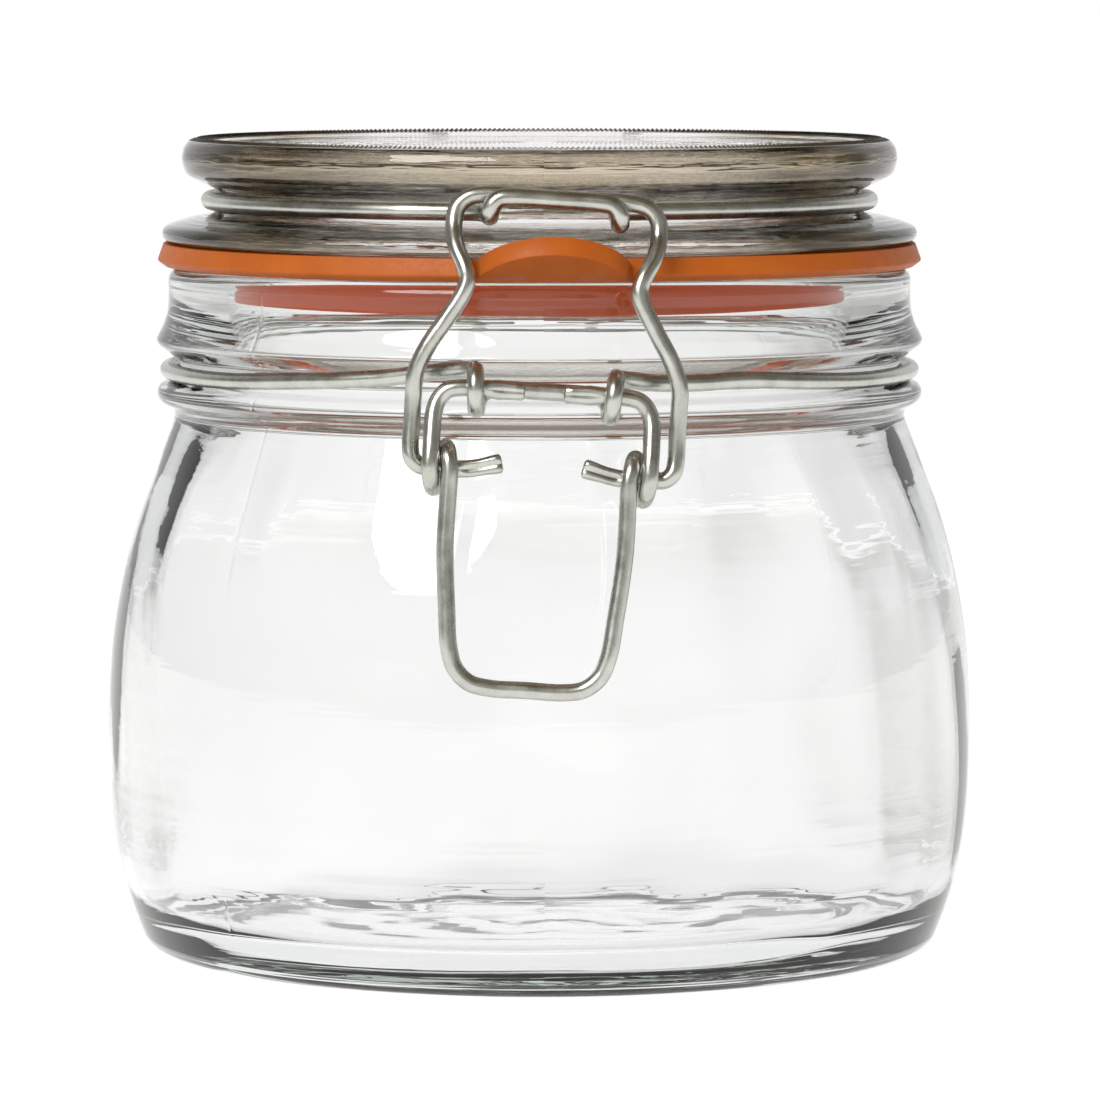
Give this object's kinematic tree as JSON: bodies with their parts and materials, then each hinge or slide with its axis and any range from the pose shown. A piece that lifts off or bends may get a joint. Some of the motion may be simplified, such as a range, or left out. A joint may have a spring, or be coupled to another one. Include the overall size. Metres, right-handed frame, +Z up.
{
  "type": "bail clamp jar",
  "caption": "Glass preserving jar with a glass lid, a rubber seal with a pull tab and a wire bail clamp that locks over centre.",
  "frame": {"origin": "centre of the foot ring, on the surface that the jar stands on", "axes": "+Z up along the jar's axis; the clamp is at -Y and the lid's hinge is at +Y; +X is to the right when facing the clamp"},
  "size_m": [0.1108, 0.1152, 0.1033],
  "materials": {
    "glass": "clear soda-lime glass with a faint grey-green tint, pressed surface",
    "wire": "drawn steel wire with dull zinc or nickel plating",
    "rubber": "satin orange natural rubber"
  },
  "bodies": {
    "jar": {"jar_body": "glass", "neck_wire": "wire"},
    "lid": {"lid": "glass", "gasket": "rubber", "lid_wire": "wire"},
    "lever": {"lever": "wire"},
    "bail": {"bail": "wire"}
  },
  "joints": [
    {"name": "lid_hinge", "type": "hinge", "parent": "jar", "child": "lid", "pos_m": [0, 0.05405, 0.07375], "axis": [-1, 0, 0], "range_deg": [0, 194]},
    {"name": "lever_lift", "type": "hinge", "parent": "jar", "child": "lever", "pos_m": [0, -0.052, 0.0739], "axis": [-0.998, 0, 0.0628], "range_deg": [0, 95]},
    {"name": "bail_swing", "type": "hinge", "parent": "lever", "child": "bail", "pos_m": [-0.00061, -0.052, 0.06422], "axis": [-0.998, 0, 0.0628], "range_deg": [-162, 0]}
  ],
  "couplings": [
    {"joint": "bail_swing", "follows": "lever_lift", "ratio": -1.7}
  ]
}
